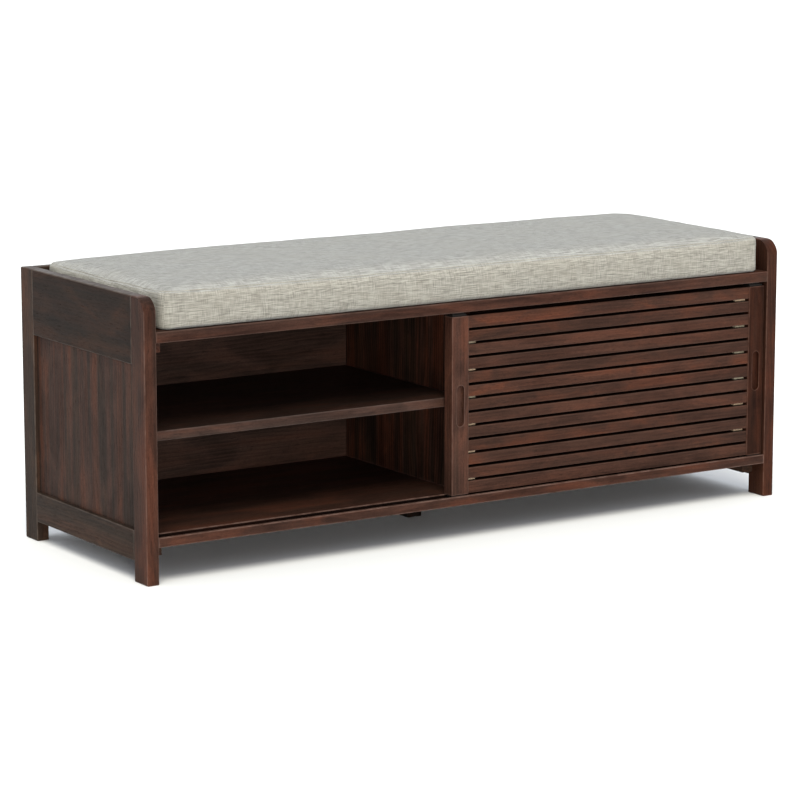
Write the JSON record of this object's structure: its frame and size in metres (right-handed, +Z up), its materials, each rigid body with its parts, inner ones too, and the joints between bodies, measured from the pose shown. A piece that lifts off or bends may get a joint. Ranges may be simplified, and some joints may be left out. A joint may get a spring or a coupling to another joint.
{
  "type": "storage bench",
  "caption": "Low storage bench with panelled ends, open shelving, a slatted sliding door running in a groove and a loose box cushion on the seat.",
  "frame": {"origin": "middle of the footprint, on the floor", "axes": "+X to the right seen from the front, +Y from the front towards the back, +Z up"},
  "size_m": [1.27, 0.425, 0.47],
  "materials": {
    "frame_wood": "satin dark walnut stain over fine straight grain",
    "board_wood": "satin dark walnut stain, grain along the length",
    "end_panel_wood": "satin dark walnut stain, edge-glued boards with upright grain",
    "slat_wood": "satin reddish walnut stain, tone differs from slat to slat",
    "cleat_wood": "thin stain over sawn softwood",
    "dowel_wood": "bare pale hardwood",
    "steel": "bright zinc plate",
    "nylon": "matt brown-grey nylon",
    "linen": "slubby plain-weave linen look",
    "foam": "open-cell foam"
  },
  "bodies": {
    "bench": {"left_front_post": "frame_wood", "left_rear_post": "frame_wood", "left_top_rail": "frame_wood", "left_bottom_rail": "frame_wood", "left_end_panel": "end_panel_wood", "right_front_post": "frame_wood", "right_rear_post": "frame_wood", "right_top_rail": "frame_wood", "right_bottom_rail": "frame_wood", "right_end_panel": "end_panel_wood", "seat_board": "board_wood", "bottom_board": "board_wood", "divider": "board_wood", "left_shelf": "board_wood", "right_shelf": "board_wood", "back_panel": "board_wood", "back_top_rail": "frame_wood", "back_bottom_rail": "frame_wood", "back_middle_stile": "frame_wood", "left_seat_cleat": "cleat_wood", "right_seat_cleat": "cleat_wood", "left_bottom_cleat": "cleat_wood", "right_bottom_cleat": "cleat_wood", "left_shelf_cleat": "cleat_wood", "right_shelf_cleat": "cleat_wood", "middle_leg": "frame_wood", "middle_leg_stud": "steel", "frame_dowels": "dowel_wood", "divider_dowels": "dowel_wood", "shelf_dowels": "dowel_wood", "cleat_screws": "steel", "back_screws": "steel"},
    "door": {"door_left_stile": "frame_wood", "door_right_stile": "frame_wood", "door_slat_spacers": "dowel_wood", "door_top_guides": "nylon", "door_bottom_glides": "nylon", "door_slat_1": "slat_wood", "door_slat_2": "slat_wood", "door_slat_3": "slat_wood", "door_slat_4": "slat_wood", "door_slat_5": "slat_wood", "door_slat_6": "slat_wood", "door_slat_7": "slat_wood", "door_slat_8": "slat_wood", "door_slat_9": "slat_wood", "door_slat_10": "slat_wood", "door_slat_11": "slat_wood", "door_slat_12": "slat_wood", "door_slat_13": "slat_wood"},
    "cushion": {"cushion_cover": "linen", "cushion_foam": "foam"}
  },
  "joints": [
    {"name": "door_slide", "type": "slide", "parent": "bench", "child": "door", "axis": [-1, 0, 0], "range_m": [0, 0.56]},
    {"name": "cushion_lift", "type": "slide", "parent": "bench", "child": "cushion", "axis": [0, 0, 1], "range_m": [0, 0.12]}
  ]
}
